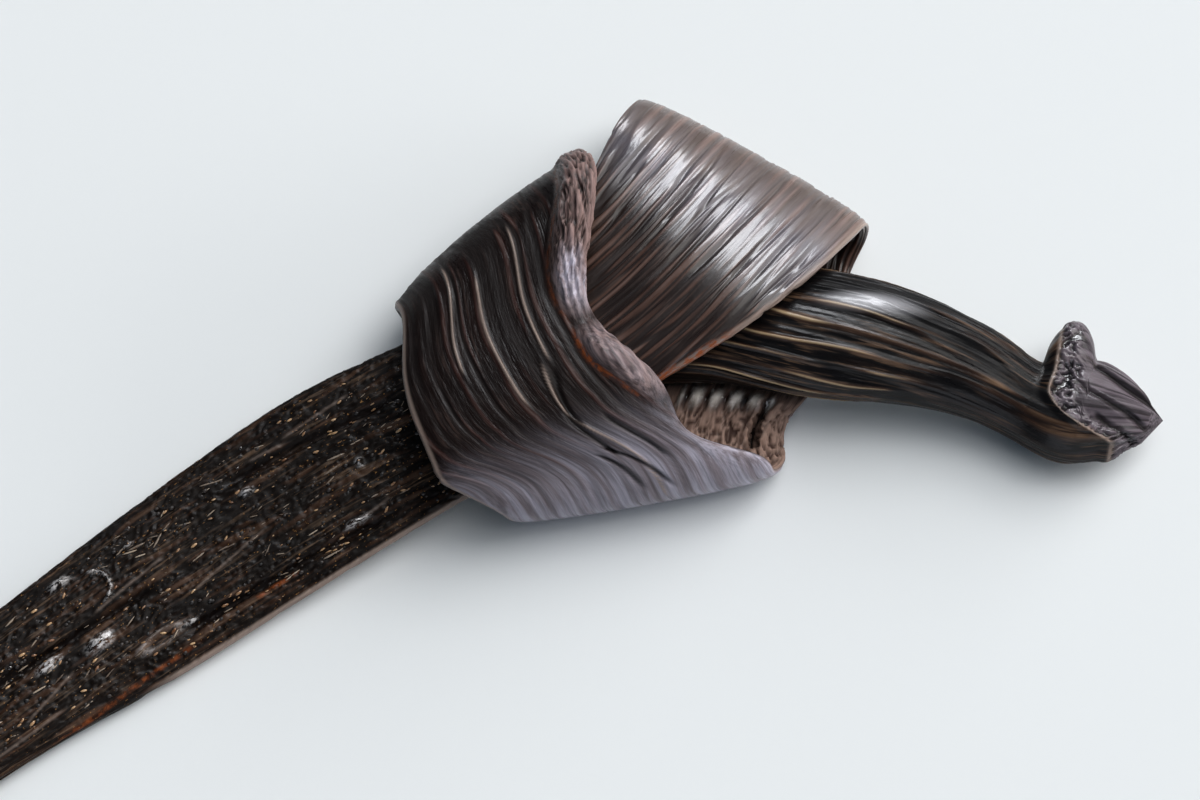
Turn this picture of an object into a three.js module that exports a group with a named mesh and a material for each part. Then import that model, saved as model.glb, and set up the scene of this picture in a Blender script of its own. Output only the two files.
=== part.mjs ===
// A vanilla pod tied in a loose overhand knot, lying on a table. Millimetres, +Z up.
// The pod is one closed solid: a flattened section swept along the knot from the blossom end
// (-X) to the stem end (+X). Its route is laid out round the middle of the knot, and the
// finished solid is moved so that the origin is under the middle of its box.
import * as THREE from 'three';

// ---- driving dimensions ------------------------------------------------------------------
const KNOT_TO_ORIGIN = new THREE.Vector3(14.94, 8.71, 0);
const PRESSED = 0.12;         // how far the soft underside is pressed flat on the table

const BAND = 0.6;             // half thickness of the split, flattened pod in the knot
const SQUARENESS = 2.6;       // section exponent of the flat band: 2 is an ellipse
const STEM_SQUARENESS = 2.15; // the same at the stem end, where the pod is still whole
const STEM_START = 139;       // distance along the pod where it begins to close up
const STEM_CLOSED = 150;      // ... and where it is a whole round pod again

const RIBS = 10;              // lengthwise ribs round the pod
const RIB_FLAT = 0.07;        // their height on the flat band
const RIB_STEM = 0.17;        // ... and on the stem end
const RIB_FADE = { tip: 12, cap: 4 };   // how far from each end the ribs reach full height

// The right edge of the band is rolled into a fleshy lip, in two swells with a neck between.
const LOWER_LIP = { at: 119.3, reach: 3.2, radius: 0.95 };
const UPPER_LIP = { at: 127.3, reach: 6.4, radius: 1.25 };
const LIP_WIDTH = 2.6;        // width of the lip, in lip radii
const LIP_FADE = 1.4;         // part of that width over which it rises, in lip radii

const CROWN = { at: 134.2, reach: 6.0, height: 0.6 };   // outward crown of the third fold

// The stem cap: a ridged cone that comes out of the pod's rim, later below than above where
// the section turns from one angle to the other, and a round hook on the rim.
const RIM = { above: 165.8, below: 169.8, from: 85, to: 150, step: -0.3, rise: 0.6, settle: 2 };
const RIM_LIP = { height: 0.2, reach: 0.8 };
const HOOK = { at: 166.4, reach: 1.45, angle: -4, spread: 58, height: 2.0, lean: 0.25 };
const CAP_RIDGES = { count: 8, height: 0.14, start: 167.2, end: 172.0, fade: 1.5 };

// Mesh: points round a section, and how far apart the sections are.
const AROUND = 40;
const STRAIGHT_STEP = 3.2;    // on a straight stretch
const TURN_STEP = 0.27;       // radians of bend between two sections
const CAP_STEP = 0.4;         // on the stem cap
const CAP_FROM = 165.4;       // where the cap's closer sections begin
const FINE = 4000;            // samples of the route used to place the sections

const COLOUR = 0x35251f;

// ---- the route -----------------------------------------------------------------------------
// A station is a point on the pod's middle surface, with the line across the pod there: its
// bearing from +X and its tilt up from the table, in degrees, the reach to the pod's left
// and right edge along it, and half the thickness.
const route = [];

function at(x, y, z, bearing, tilt, left, right, half) {
  route.push({ x, y, z, across: direction(bearing, tilt), left, right, half });
}

function direction(bearing, tilt) {
  const b = THREE.MathUtils.degToRad(bearing);
  const t = THREE.MathUtils.degToRad(tilt);
  return new THREE.Vector3(Math.cos(b) * Math.cos(t), Math.sin(b) * Math.cos(t), Math.sin(t));
}

// A half turn about a line through (x, y, z). It bulges to one side of the line (side 1 or
// -1) and goes up (rise 1) or down (rise -1). The band may slide along the line on the way
// round, and the line may fan, because the pod isn't square to its folds.
function fold({ x, y, z, radius, bearing, tilt, left, right, side, rise, slide, fan, angles }) {
  for (const angle of angles) {
    const part = angle / 90;
    const a = THREE.MathUtils.degToRad(angle);
    const across = direction(bearing + fan * part, tilt);
    const out = new THREE.Vector3(-across.y, across.x, 0).normalize().multiplyScalar(side);
    const up = new THREE.Vector3().crossVectors(across, out).multiplyScalar(side);
    const point = new THREE.Vector3(x, y, z)
      .addScaledVector(out, radius * Math.cos(a))
      .addScaledVector(up, radius * rise * Math.sin(a))
      .addScaledVector(across, slide * part);
    route.push({ x: point.x, y: point.y, z: point.z, across, left, right, half: BAND });
  }
}

function blossomLeg() {
  at(-59.9, -35.5, 0.7, -57, 0, 0.5, 0.5, 0.55);
  at(-57.0, -33.7, 0.95, -57, 0, 1.9, 1.9, 0.9);
  at(-51.0, -30.0, 1.0, -56, 0, 3.0, 3.0, 0.95);
  at(-42.0, -23.9, 0.93, -55.5, 0, 3.7, 3.7, 0.9);
  at(-31.3, -16.0, 0.88, -56, 0, 4.1, 4.0, 0.85);
  at(-25.6, -11.5, 0.85, -57, 0, 4.45, 4.8, 0.8);
  at(-19.4, -7.1, 1.1, -58.5, 0, 4.95, 5.05, 0.75);
  at(-13.5, -3.5, 1.8, -60, 0, 5.3, 4.95, 0.7);
  at(-9.2, -1.2, 2.5, -61, 0, 5.0, 4.8, 0.7);
  at(-5.0, 0.9, 3.45, -60, 1, 4.8, 4.8, 0.65);
}

function bandOverStem() {
  at(-1.2, 3.4, 4.55, -56, 3, 4.9, 5.1, BAND);
  at(1.4, 5.4, 5.2, -51, 5, 5.7, 5.6, BAND);
  at(3.6, 7.6, 5.55, -45, 6, 6.3, 6.4, BAND);
  at(5.6, 10.2, 5.2, -38, 4, 6.9, 7.0, BAND);
}

function firstFold() {
  fold({ x: 7.6, y: 13.0, z: 2.37, radius: 1.75, bearing: -32, tilt: 0, left: 7.4, right: 7.3,
    side: 1, rise: -1, slide: 0, fan: 0, angles: [-70, -35, 0, 35, 70] });
}

function bandUnderStem() {
  at(7.1, 10.4, 0.62, -28, 0, 7.2, 7.2, BAND);
  at(5.6, 5.0, 0.62, -20, 0, 7.0, 7.0, BAND);
  at(4.4, 1.0, 1.0, -7, 5, 7.0, 6.4, BAND);
  at(3.6, -1.1, 0.75, 2, 2, 7.0, 6.4, BAND);
}

function secondFold() {
  fold({ x: 2.3, y: -2.9, z: 3.1, radius: 2.4, bearing: 11.5, tilt: 1.5, left: 8.0, right: 6.4,
    side: -1, rise: 1, slide: -1.6, fan: 4, angles: [-60, -20, 20] });
  at(1.3, -4.5, 5.2, 13, 2, 8.7, 4.7, BAND);
}

function frontWrap() {
  at(-2.9, -3.0, 6.05, 20, 4, 6.4, 6.7, BAND);
  at(-4.8, 0.5, 6.05, 27, 5, 5.9, 5.4, BAND);
  at(-5.5, 4.0, 5.7, 32, 6, 6.1, 5.7, BAND);
}

function thirdFold() {
  fold({ x: -4.97, y: 8.14, z: 3.35, radius: 1.9, bearing: 40, tilt: 7, left: 6.4, right: 7.15,
    side: 1, rise: -1, slide: 0.3, fan: 3, angles: [-60, -20, 20, 60] });
}

function stemLeg() {
  at(-2.0, 6.4, 2.0, 52, 4, 5.2, 5.6, 0.75);
  at(1.8, 4.5, 2.85, 60, 1, 4.0, 4.8, 1.1);
  at(6.4, 3.7, 3.4, 69, 0, 2.9, 4.25, 1.45);
  at(11.0, 3.7, 3.6, 79, 0, 3.6, 3.9, 1.8);
  at(16.3, 3.3, 3.3, 76, 0, 3.6, 3.1, 1.95);
  at(19.0, 2.6, 2.95, 70, 0, 3.2, 2.68, 1.85);
  at(21.7, 1.4, 2.5, 66, 0, 2.7, 2.25, 1.75);
  at(23.5, 0.4, 2.25, 70, 0, 2.6, 2.2, 1.7);
}

function stemCap() {
  at(25.5, -0.25, 2.25, 74, 0, 3.0, 3.35, 1.9);
  at(27.5, -0.5, 2.2, 76, 0, 2.6, 3.0, 1.75);
  at(28.8, -0.6, 2.2, 76, 0, 2.1, 1.95, 1.4);
  at(29.6, -0.65, 2.1, 76, 0, 1.5, 0.9, 0.9);
}

// ---- curves and easing ---------------------------------------------------------------------
function smooth(t) {
  const c = THREE.MathUtils.clamp(t, 0, 1);
  return c * c * (3 - 2 * c);
}

// 1 at the middle of a swell, falling smoothly to 0 at its reach.
function swell(distance, reach) {
  return smooth(1 - Math.abs(distance) / reach);
}

function signedPower(value, exponent) {
  return Math.sign(value) * Math.abs(value) ** exponent;
}

// Natural cubic spline through the rows of values at the given knots.
function naturalSpline(knots, rows) {
  const last = knots.length - 1;
  const bend = rows.map((row) => row.map(() => 0));
  const width = knots.map((knot, i) => (i < last ? knots[i + 1] - knot : 0));
  for (let k = 0; k < rows[0].length; k += 1) {
    const slope = new Array(last + 1).fill(0);
    for (let i = 1; i < last; i += 1) {
      const rise = (rows[i + 1][k] - rows[i][k]) / width[i];
      const run = (rows[i][k] - rows[i - 1][k]) / width[i - 1];
      const pivot = 2 * (width[i - 1] + width[i]) - width[i - 1] * slope[i - 1];
      slope[i] = width[i] / pivot;
      bend[i][k] = (6 * (rise - run) - width[i - 1] * bend[i - 1][k]) / pivot;
    }
    for (let i = last - 1; i > 0; i -= 1) {
      bend[i][k] -= slope[i] * bend[i + 1][k];
    }
  }
  return (x) => {
    let i = 0;
    while (i < last - 1 && x > knots[i + 1]) {
      i += 1;
    }
    const h = width[i];
    const a = (knots[i + 1] - x) / h;
    const b = (x - knots[i]) / h;
    return rows[i].map((value, k) => a * value + b * rows[i + 1][k]
      + ((a ** 3 - a) * bend[i][k] + (b ** 3 - b) * bend[i + 1][k]) * h * h / 6);
  };
}

// ---- the section ---------------------------------------------------------------------------
function lipRadius(s, half) {
  const lower = (LOWER_LIP.radius - half) * swell(s - LOWER_LIP.at, LOWER_LIP.reach);
  const upper = (UPPER_LIP.radius - half) * swell(s - UPPER_LIP.at, UPPER_LIP.reach);
  return half + Math.max(lower, upper, 0);
}

// Height of the surface above the plain section: ribs, and on the stem cap its rim and
// ridges. The angle goes round the section from the right edge.
function relief(s, angle) {
  const closed = smooth((s - STEM_START) / (STEM_CLOSED - STEM_START));
  const ends = smooth(s / RIB_FADE.tip) * smooth((RIM.above - s) / RIB_FADE.cap);
  const ribs = THREE.MathUtils.lerp(RIB_FLAT, RIB_STEM, closed) * Math.cos(RIBS * angle) * ends;
  return ribs + capRelief(s, angle);
}

function capRelief(s, angle) {
  const turn = Math.abs(Math.atan2(Math.sin(angle), Math.cos(angle)));
  const lag = smooth((THREE.MathUtils.radToDeg(turn) - RIM.from) / (RIM.to - RIM.from));
  const rim = THREE.MathUtils.lerp(RIM.above, RIM.below, lag);
  const step = RIM.step * smooth((s - rim) / RIM.rise) * smooth((CAP_RIDGES.end - s) / RIM.settle);
  const lip = RIM_LIP.height * swell(s - rim, RIM_LIP.reach);
  const { count, height, start, end, fade } = CAP_RIDGES;
  const ridged = smooth((s - start) / fade) * smooth((end - s) / fade);
  const ridges = height * Math.cos(count * angle) * ridged;
  return step + lip + ridges;
}

// The hook is a round tab on the rim that curls back over the pod.
function hookHeight(s, angle) {
  const aside = angle - THREE.MathUtils.degToRad(HOOK.angle);
  const off = THREE.MathUtils.radToDeg(Math.abs(Math.atan2(Math.sin(aside), Math.cos(aside))));
  const dome = Math.sqrt(Math.max(1 - ((s - HOOK.at) / HOOK.reach) ** 2, 0));
  return HOOK.height * dome * swell(off, HOOK.spread);
}

// One section as points in its own plane: x across the pod, y along the middle surface's
// normal, and how far a point leans back out of the plane. The lip thickens the right edge
// upwards only, so that it sits on what is below.
function section(s, left, right, half) {
  const closed = smooth((s - STEM_START) / (STEM_CLOSED - STEM_START));
  const power = 2 / THREE.MathUtils.lerp(SQUARENESS, STEM_SQUARENESS, closed);
  const lip = lipRadius(s, half);
  const crown = CROWN.height * swell(s - CROWN.at, CROWN.reach);
  const outline = [];
  for (let i = 0; i < AROUND; i += 1) {
    const angle = 2 * Math.PI * i / AROUND;
    const reach = Math.cos(angle) > 0 ? right : left;
    const x = reach * signedPower(Math.cos(angle), power);
    const inLip = smooth((LIP_WIDTH * lip - (right - x)) / (LIP_FADE * lip));
    const lift = (lip - half) * inLip;
    const y = lift + (half + lift) * signedPower(Math.sin(angle), power)
      + crown * (1 - (x / reach) ** 2);
    outline.push({ x, y, angle });
  }
  return outline.map((point, i) => {
    const before = outline[(i + AROUND - 1) % AROUND];
    const after = outline[(i + 1) % AROUND];
    const length = Math.hypot(after.x - before.x, after.y - before.y);
    const hook = hookHeight(s, point.angle);
    const height = relief(s, point.angle) * (1 - hook / HOOK.height) + hook;
    return {
      x: point.x + height * (after.y - before.y) / length,
      y: point.y - height * (after.x - before.x) / length,
      back: hook * HOOK.lean,
    };
  });
}

// ---- the sweep -----------------------------------------------------------------------------
function sampleRoute() {
  const knots = [0];
  for (let i = 1; i < route.length; i += 1) {
    const [a, b] = [route[i - 1], route[i]];
    knots.push(knots[i - 1] + Math.hypot(b.x - a.x, b.y - a.y, b.z - a.z));
  }
  const rows = route.map((r) => [r.x, r.y, r.z, ...r.across.toArray(), r.left, r.right, r.half]);
  const spline = naturalSpline(knots, rows);
  const samples = [];
  let s = 0;
  for (let i = 0; i <= FINE; i += 1) {
    const [x, y, z, ax, ay, az, left, right, half] = spline(knots.at(-1) * i / FINE);
    const centre = new THREE.Vector3(x, y, z);
    s += i > 0 ? centre.distanceTo(samples[i - 1].centre) : 0;
    samples.push({ s, centre, across: new THREE.Vector3(ax, ay, az).normalize(), left, right, half });
  }
  samples.forEach((sample, i) => {
    const ahead = samples[Math.min(i + 1, FINE)].centre;
    const behind = samples[Math.max(i - 1, 0)].centre;
    sample.along = ahead.clone().sub(behind).normalize();
    sample.normal = new THREE.Vector3().crossVectors(sample.across, sample.along).normalize();
  });
  return samples;
}

// Sections lie closer where the route bends and on the stem cap.
function placeSections(samples) {
  const weight = [0];
  for (let i = 1; i <= FINE; i += 1) {
    const length = samples[i].s - samples[i - 1].s;
    const bend = samples[i].along.angleTo(samples[i - 1].along);
    const step = samples[i].s > CAP_FROM ? CAP_STEP : STRAIGHT_STEP;
    weight.push(weight[i - 1] + length / step + bend / TURN_STEP);
  }
  const count = Math.round(weight.at(-1));
  const places = [];
  let i = 0;
  for (let k = 0; k <= count; k += 1) {
    while (i < FINE && weight[i] < weight.at(-1) * k / count) {
      i += 1;
    }
    places.push(samples[i]);
  }
  return places;
}

function podGeometry() {
  const places = placeSections(sampleRoute());
  const positions = [];
  for (const { s, centre, across, along, normal, left, right, half } of places) {
    for (const { x, y, back } of section(s, left, right, half)) {
      const point = centre.clone()
        .addScaledVector(across, x)
        .addScaledVector(normal, y)
        .addScaledVector(along, -back);
      positions.push(point.x, point.y, Math.max(point.z - PRESSED, 0));
    }
  }
  const index = [];
  for (let ring = 0; ring < places.length - 1; ring += 1) {
    for (let i = 0; i < AROUND; i += 1) {
      const a = ring * AROUND + i;
      const b = ring * AROUND + (i + 1) % AROUND;
      index.push(a, a + AROUND, b, b, a + AROUND, b + AROUND);
    }
  }
  closeEnd(positions, index, places[0], 0, -1);
  closeEnd(positions, index, places.at(-1), places.length - 1, 1);
  const geometry = new THREE.BufferGeometry();
  geometry.setAttribute('position', new THREE.Float32BufferAttribute(positions, 3));
  geometry.setIndex(index);
  geometry.translate(...KNOT_TO_ORIGIN.toArray());
  geometry.computeVertexNormals();
  return geometry;
}

// A low point closes each end; sense is -1 at the start and 1 at the finish.
function closeEnd(positions, index, place, ring, sense) {
  const tip = place.centre.clone().addScaledVector(place.along, sense * place.half);
  const middle = positions.length / 3;
  positions.push(tip.x, tip.y, tip.z - PRESSED);
  for (let i = 0; i < AROUND; i += 1) {
    const a = ring * AROUND + i;
    const b = ring * AROUND + (i + 1) % AROUND;
    index.push(middle, ...(sense < 0 ? [a, b] : [b, a]));
  }
}

blossomLeg();
bandOverStem();
firstFold();
bandUnderStem();
secondFold();
frontWrap();
thirdFold();
stemLeg();
stemCap();

const material = new THREE.MeshStandardMaterial({ color: COLOUR, roughness: 0.45, metalness: 0 });
const pod = new THREE.Mesh(podGeometry(), material);
pod.name = 'vanilla_pod';

const group = new THREE.Group();
group.add(pod);

export default group;
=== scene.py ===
import math
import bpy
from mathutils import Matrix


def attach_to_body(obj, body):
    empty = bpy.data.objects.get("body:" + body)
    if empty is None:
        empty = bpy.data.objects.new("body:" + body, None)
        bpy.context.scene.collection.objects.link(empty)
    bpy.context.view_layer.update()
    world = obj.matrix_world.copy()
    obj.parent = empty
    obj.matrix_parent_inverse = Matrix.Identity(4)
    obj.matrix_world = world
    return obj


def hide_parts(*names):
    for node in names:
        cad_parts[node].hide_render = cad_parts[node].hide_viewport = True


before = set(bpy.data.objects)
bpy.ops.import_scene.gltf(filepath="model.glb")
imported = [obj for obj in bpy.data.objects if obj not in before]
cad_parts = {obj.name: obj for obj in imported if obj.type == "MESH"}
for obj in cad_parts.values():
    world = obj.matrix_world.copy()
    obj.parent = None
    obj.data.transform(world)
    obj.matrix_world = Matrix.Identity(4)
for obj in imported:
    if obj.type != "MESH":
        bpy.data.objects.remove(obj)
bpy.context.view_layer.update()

from types import SimpleNamespace

import bpy
import numpy as np
from mathutils import Vector

# A vanilla pod tied in a loose overhand knot. Lengths are millimetres until a mesh is made;
# MM turns them into metres. The middle of the knot is laid out at (0, 0) and moved to its
# place by KNOT_TO_ORIGIN, as in the solid that these pieces stand for.
MM = 0.001
KNOT_TO_ORIGIN = np.array([14.94, 8.71, 0.0])
PRESSED = 0.12            # how far the soft underside is pressed flat on the table

BAND = 0.6                # half thickness of the split, flattened pod in the knot
SQUARENESS = 2.6          # section exponent of the flat band: 2 is an ellipse
STEM_SQUARENESS = 2.15    # the same at the stem end, where the pod is still whole
STEM_START = 139.0        # distance along the pod where it begins to close up
STEM_CLOSED = 150.0       # ... and where it is a whole round pod again

LOWER_LIP = {"at": 119.3, "reach": 3.2, "radius": 0.95}
UPPER_LIP = {"at": 127.3, "reach": 6.4, "radius": 1.25}
LIP_WIDTH = 2.6           # width of the lip, in lip radii
LIP_FADE = 1.4            # part of that width over which it rises, in lip radii
CROWN = {"at": 134.2, "reach": 6.0, "height": 0.6}

RIM = {"above": 165.8, "below": 169.8, "turn": (85, 150), "step": -0.3, "rise": 0.6,
       "settle": 2}
RIM_LIP = {"height": 0.2, "reach": 0.8}
HOOK = {"at": 166.4, "reach": 1.45, "angle": -4, "spread": 58, "height": 2.0, "lean": 0.25}
CAP_RIDGES = {"count": 8, "height": 0.14, "start": 167.2, "end": 172.0, "fade": 1.5}

# The skin's own coordinates, which the ribs, streaks and colours follow.
EDGE_WRAP = 2.5           # how much further the skin runs round the thin edges than it is thick
DRIFT = {"at": 118.0, "above": 0.15, "below": 0.10, "top": 12.0, "bottom": 8.0}
STEM_RADIUS = 2.7
TWIST = {"rate": 0.1, "start": 141.0, "reach": 14.0}

# Lines on the skin: the side they lie on, depth, width, how far they fade past their ends,
# and the places that each runs between (distance along the pod, distance across it).
WRAP_RIDGES = (((127.0, -1.2), (119.6, -0.1)), ((119.8, 1.6), (111.0, 0.8)),
               ((129.0, -3.1), (123.0, -2.6)), ((128.5, 1.2), (121.5, 2.0)))
LINES = {
    "leg_creases": (
        "inner", 0.4, 0.4, 2.0, ((30.0, -0.5), (42.4, 0.0)), ((45.5, 3.3), (55.5, 3.6)),
        ((51.5, -2.6), (59.0, -2.2)), ((12.0, 0.4), (30.0, 0.9))),
    "leg_streaks": (
        "inner", 1.0, 0.13, 0.6, ((46.2, 1.5), (50.4, 0.8)), ((52.4, -3.1), (53.8, -3.0)),
        ((54.6, -3.3), (58.0, -3.6)), ((55.6, -2.3), (58.2, -2.0)), ((55.9, 3.05), (57.0, 2.9)),
        ((41.0, -0.6), (45.0, -1.0)), ((34.8, 2.2), (37.4, 1.6)), ((30.0, 3.0), (36.0, 2.9))),
    "leg_fleck": ("inner", 1.0, 0.22, 0.5, ((48.8, 3.8), (50.9, 3.78))),
    "band_grooves": (
        "front", 0.1, 0.24, 2.0, ((77.0, -1.0), (83.5, -1.4)), ((78.5, 2.2), (83.5, 2.4)),
        ((79.5, 4.0), (84.0, 4.2)), ((72.0, 0.8), (78.0, 0.7))),
    "wrap_ridges": ("front", -0.08, 0.2, 2.0, *WRAP_RIDGES),
    # Painted highlights: pale glint lines along the wrap's ridges.
    "wrap_glint_lines": ("front", 1.0, 0.13, 1.0, *WRAP_RIDGES),
    "wrap_creases": (
        "front", 0.15, 0.24, 0.8, ((117.2, 1.2), (114.0, 0.3)), ((114.0, 0.3), (111.4, 1.2)),
        ((119.6, 2.0), (117.0, 1.4)), ((116.2, 2.6), (113.2, 2.2)), ((113.5, -0.5), (111.6, -0.2))),
    "cap_grooves": (
        "behind", 0.2, 0.32, 0.5, ((168.0, 2.4), (171.8, 0.3)), ((167.6, 0.9), (171.2, -0.93)),
        ((168.8, -0.9), (171.0, -2.0))),
}

# Drops: distance along and across, reach along and across, height.
DROPS = [(39.95, 1.0, 1.15, 0.6, 0.4), (36.95, 0.4, 1.1, 0.4, 0.35),
         (39.8, -3.15, 0.9, 0.4, 0.3), (51.0, -1.6, 0.6, 0.35, 0.3),
         (57.05, 0.25, 0.35, 0.45, 0.25), (55.3, 3.1, 1.2, 0.3, 0.2),
         (44.1, -2.75, 0.4, 0.2, 0.2), (44.7, 2.95, 0.6, 0.2, 0.2)]
CURL = {"at": (42.8, 2.8), "radius": (1.2, 0.36), "width": 0.2, "height": 0.2}
CRESCENT = {"at": (41.2, -1.75), "radius": (1.0, 1.0), "width": 0.15, "height": 0.2,
            "ease": 0.5}
POCKET_RIDGE = {"at": 102.3, "reach": 1.1, "height": 0.4, "from": 0.2, "to": 4.9, "ease": 0.4}
POCKET_RIBS = {"pitch": 1.05, "depth": 0.3, "first": 1.0}
POCKET_CREASE = {"ends": ((102.4, 4.9), (105.6, 4.7)), "width": 0.45, "fade": 0.6,
                 "depth": 0.5, "edge_at": 0.5, "edge_width": 0.3, "edge_height": 0.2}
LIP_KNOB = {"at": (127.4, 5.1), "radius": (1.5, 0.8), "ring": 0.75, "height": 0.16,
            "reach": 1.8}
LIP_RIDGES = {"pitch": 0.45, "height": 0.05}

# Tinted spots: the side they lie on, the place, and the reach along and across. The lens on the
# stem and the lip's spot are painted sheen, a light colour in place of a reflection; the cap's spot
# is rust.
SPOTS = {"lens": ("behind", (155.2, 1.4), (3.6, 0.95)),
         "lip_painted_sheen": ("front", (124.1, 4.7), (2.4, 1.3)),
         "cap_rust": ("capped", (166.0, 3.4), (0.9, 0.8))}
# Painted sheen: a lilac-grey colour in place of the reflection of the table and the front, low on
# the wrap and stronger to its right, and across the back band's highlight.
LOW_PAINTED_SHEEN = {"least": 0.75, "from": -2.0, "over": 6.0}
BAND_PAINTED_SHEEN = {"at": 81.5, "reach": 4.0}
LEG_RUST = {"across": 4.1, "width": 0.2}

# Stretches where the finish differs: from, to, and the distance over which it eases off.
AREAS = {
    "seeds": (8.0, 65.0, 3.0), "leg_rust": (34.0, 43.0, 2.0), "leg_lit_side": (44.0, 64.0, 4.0),
    "calm_band": (68.0, 74.0, 3.5), "band_rust": (70.5, 75.5, 1.5),
    "band_lit_edge": (74.0, 86.0, 2.0), "fold_crest_sheen": (83.0, 86.0, 1.0),
    "fold_painted_sheen": (84.0, 92.0, 4.0), "pocket": (100.5, 109.0, 1.0),
    "pocket_floor": (103.0, 107.0, 0.6), "low_band": (101.0, 109.5, 9.0),
    "calm_wrap": (104.0, 138.0, 2.0), "wrap_lit_edge": (110.0, 131.0, 2.0),
    "lower_lip": (116.0, 121.0, 1.5), "lip_ridges": (119.0, 126.0, 1.5),
    "upper_lip": (123.0, 140.0, 2.0), "crumpled_lip": (124.0, 131.0, 1.5),
    "plain_stem": (141.0, 146.0, 3.0),
}
LEG = {"end": 70.0, "ease": 4.0, "turn": 0.1, "turn_ease": 0.3}
WRAP_START = 99.0
CAP_START = 160.0
TIP_FADE = 8.0            # the ribs rise over this distance from the blossom end
SIDE_EASE = 0.2           # how far front and back run into each other round the edges
EDGE_EASE = 0.2           # how far the worn edges run into the skin beside them
RIB_END = 0.6             # the ribs fade over this distance before the cap's rim
CAP_EDGE = {"ease": 0.4, "line_at": 0.05, "line_width": 0.2}
IN_RIM = {"to": 1.9, "ease": 1.2}
WAVERING_STEM = {"from": 156.0, "over": 6.0, "share": 0.75}
# Painted highlight: a cream colour on the stem's rib crests, fading out towards the cap.
PAINTED_CREST_HIGHLIGHT = {"to": 163.0, "over": 9.0}
SEED_MARGIN = {"left": 1.2, "right": 0.9, "ease": 0.5}
CALM_WRAP = {"from": -0.6, "to": 2.6, "ease": 1.4}

# The pod's edges. Pale ones, a painted highlight on the edge's side that faces the light: the turn
# of the edge from, to and its ease, and the inset.
PALE_EDGES = {"leg_lit_side": (-0.8, 0.3, 0.15, 0.75), "band_lit_edge": (-0.5, 0.4, 0.3, 0.3)}
WRAP_EDGE = {"turn": (-0.4, 0.6, 0.2), "inset": 0.15, "width": 0.22}
BAND_RUST = {"inset": 0.15, "past": 1.0, "ease": 0.25}

# How strongly each form and place shows in each part of the finish. Rust is the skin's own colour;
# the pale parts, sheens, glints and gleam are mostly painted highlights and sheen, and the crease
# part is painted shade.
FINISH = {
    "rust": {"lip_rust": 1.0, "band_rust": 1.0, "pocket_edges": 0.15, "cap_rust": 1.0,
             "leg_rust": 0.7, "leg_fleck": 1.0},
    # Pale colour: painted highlights on lit edge sides, glint lines, bumps, the fold crest and the
    # cap's rim, with the skin's own pale streaks, crease edges and curl.
    "pale_marks_and_highlights": {"leg_lit_side": 1.3, "leg_streaks": 0.4, "wrap_glint_lines": 1.4, "bump_highlights": 2.0,
             "pocket_edges": 0.5, "curl": 0.3, "fold_crest_sheen": 0.3, "rim_highlight": 0.9,
             "wrap_lit_edge": 1.0, "band_lit_edge": 0.8},
    # Painted sheen: lilac-grey reflection painted low on the wrap, on the lip, on the first fold
    # and across the back band.
    "painted_sheen": {"low_painted_sheen": 1.0, "lip_painted_sheen": 1.3, "lower_lip": 0.2, "fold_painted_sheen": 0.08,
             "band_painted_sheen": 0.25},
    "wet": {"drops": 3.0, "crescent": 1.0, "inside_rim": 0.8, "lens": 0.3, "ridge": 1.0},
    # Painted shade: a near-black colour in the creases and grooves of the leg, the wrap, the cap
    # and the pocket.
    "crease": {"leg_creases": 2.2, "wrap_creases": 6.0, "cap_grooves": 4.5,
               "pocket_crease": 1.0},
    # Painted glints: a near-white colour on the drops, the curl, the crescent and the pocket
    # ridge's bumps.
    "painted_glints": {"drops": 4.5, "curl": 0.25, "crescent": 0.8, "bump_highlights": 1.5},
    # The lens is painted sheen, and the gleam a painted highlight on the pocket ridge's bumps.
    "lens": {"lens": 1.0}, "painted_gleam": {"bump_highlights": 1.0}, "pocket": {"pocket_skin": 1.0},
    "cone": {"cone": 1.0},
}
CRUMPLE = {"crumpled_lip": 1.0, "pocket_floor": 1.0, "inside_rim": 1.8, "leg": 1.0,
           "everywhere": 0.06}
RIB_LOSS = {"lip": 0.75, "lens": 0.85, "leg": 0.6, "low_band": 0.75, "ridge": 0.7}
CALM_LOSS = {"wrap": 0.6, "band": 0.8}
LIP_RUST_LOSS = 0.55
CURL_CRUMPLE_LOSS = 0.8
MOST_CRUMPLED = 2.0

FINE = 4000               # samples of the route
OUTLINE = 480             # samples of one section's outline

# The camera looks at the middle of the knot from the front, well above it.
CAMERA_DISTANCE = 300.0
CAMERA_ELEVATION = 65.0
VIEW_WIDTH = 64.8         # what the image is wide at the knot
SENSOR = 36.0
KNOT_HEIGHT = 3.0


# ---- the route
stations = []


def direction(bearing, tilt):
    b, t = math.radians(bearing), math.radians(tilt)
    return np.array([math.cos(b) * math.cos(t), math.sin(b) * math.cos(t), math.sin(t)])


def at(x, y, z, bearing, tilt, left, right, half):
    """A station: a point on the middle surface, the line across the pod there, the reach to
    its left and right edge, and half the thickness."""
    stations.append([x, y, z, *direction(bearing, tilt), left, right, half])


def fold(x, y, z, radius, bearing, tilt, left, right, side, rise, slide, fan, angles):
    """A half turn about a line through (x, y, z)."""
    for angle in angles:
        part, a = angle / 90, math.radians(angle)
        across = direction(bearing + fan * part, tilt)
        out = np.array([-across[1], across[0], 0.0])
        out *= side / np.linalg.norm(out)
        up = np.cross(across, out) * side
        point = (np.array([x, y, z]) + radius * math.cos(a) * out
                 + radius * rise * math.sin(a) * up + slide * part * across)
        stations.append([*point, *across, left, right, BAND])


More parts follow.
